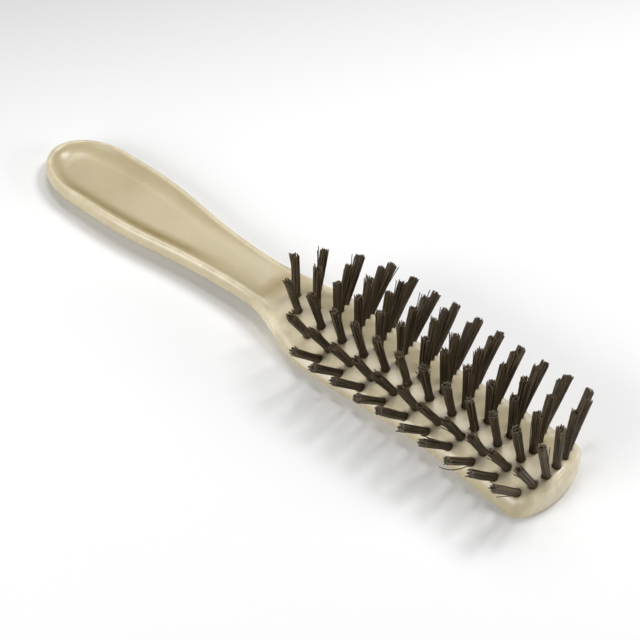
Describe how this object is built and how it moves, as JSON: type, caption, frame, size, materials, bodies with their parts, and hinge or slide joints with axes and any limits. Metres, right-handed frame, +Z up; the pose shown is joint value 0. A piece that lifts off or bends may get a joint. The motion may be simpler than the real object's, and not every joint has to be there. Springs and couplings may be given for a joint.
{
  "type": "clothes brush",
  "caption": "One-piece moulded clothes brush: dished handle, arched head and fanned rows of separate dark bristle tufts, lying on its flat back with the bristles up.",
  "frame": {"origin": "under the middle of the brush's length and width, in the plane of the flat back that it rests on", "axes": "+X from the handle's butt to the toe of the head, +Z up out of the bristle face, +Y across the brush"},
  "size_m": [0.2286, 0.0568, 0.0301],
  "materials": {
    "ivory_plastic": "aged ivory moulded plastic, opaque, soft semi-gloss",
    "dark_bristle": "coarse dark brown bristle filament, satin",
    "anchor_wire": "plain flat anchor wire, hidden inside the head"
  },
  "bodies": {
    "root": {"anchor_strip_row_1": "anchor_wire", "anchor_strip_row_2": "anchor_wire", "anchor_strip_row_3": "anchor_wire", "anchor_strip_row_4": "anchor_wire", "anchor_strip_row_5": "anchor_wire", "anchor_strip_row_6": "anchor_wire", "anchor_strip_row_7": "anchor_wire", "moulded_body": "ivory_plastic", "tufts_row_1_no_1_2": "dark_bristle", "tufts_row_1_no_3_4": "dark_bristle", "tufts_row_1_no_5_6": "dark_bristle", "tufts_row_1_no_7_8": "dark_bristle", "tufts_row_1_no_9_10": "dark_bristle", "tufts_row_2_no_11": "dark_bristle", "tufts_row_2_no_1_2": "dark_bristle", "tufts_row_2_no_3_4": "dark_bristle", "tufts_row_2_no_5_6": "dark_bristle", "tufts_row_2_no_7_8": "dark_bristle", "tufts_row_2_no_9_10": "dark_bristle", "tufts_row_3_no_11_12": "dark_bristle", "tufts_row_3_no_1_2": "dark_bristle", "tufts_row_3_no_3_4": "dark_bristle", "tufts_row_3_no_5_6": "dark_bristle", "tufts_row_3_no_7_8": "dark_bristle", "tufts_row_3_no_9_10": "dark_bristle", "tufts_row_4_no_11_12": "dark_bristle", "tufts_row_4_no_13": "dark_bristle", "tufts_row_4_no_1_2": "dark_bristle", "tufts_row_4_no_3_4": "dark_bristle", "tufts_row_4_no_5_6": "dark_bristle", "tufts_row_4_no_7_8": "dark_bristle", "tufts_row_4_no_9_10": "dark_bristle", "tufts_row_5_no_11_12": "dark_bristle", "tufts_row_5_no_1_2": "dark_bristle", "tufts_row_5_no_3_4": "dark_bristle", "tufts_row_5_no_5_6": "dark_bristle", "tufts_row_5_no_7_8": "dark_bristle", "tufts_row_5_no_9_10": "dark_bristle", "tufts_row_6_no_11": "dark_bristle", "tufts_row_6_no_1_2": "dark_bristle", "tufts_row_6_no_3_4": "dark_bristle", "tufts_row_6_no_5_6": "dark_bristle", "tufts_row_6_no_7_8": "dark_bristle", "tufts_row_6_no_9_10": "dark_bristle", "tufts_row_7_no_1_2": "dark_bristle", "tufts_row_7_no_3_4": "dark_bristle", "tufts_row_7_no_5_6": "dark_bristle", "tufts_row_7_no_7_8": "dark_bristle", "tufts_row_7_no_9_10": "dark_bristle"}
  },
  "joints": []
}
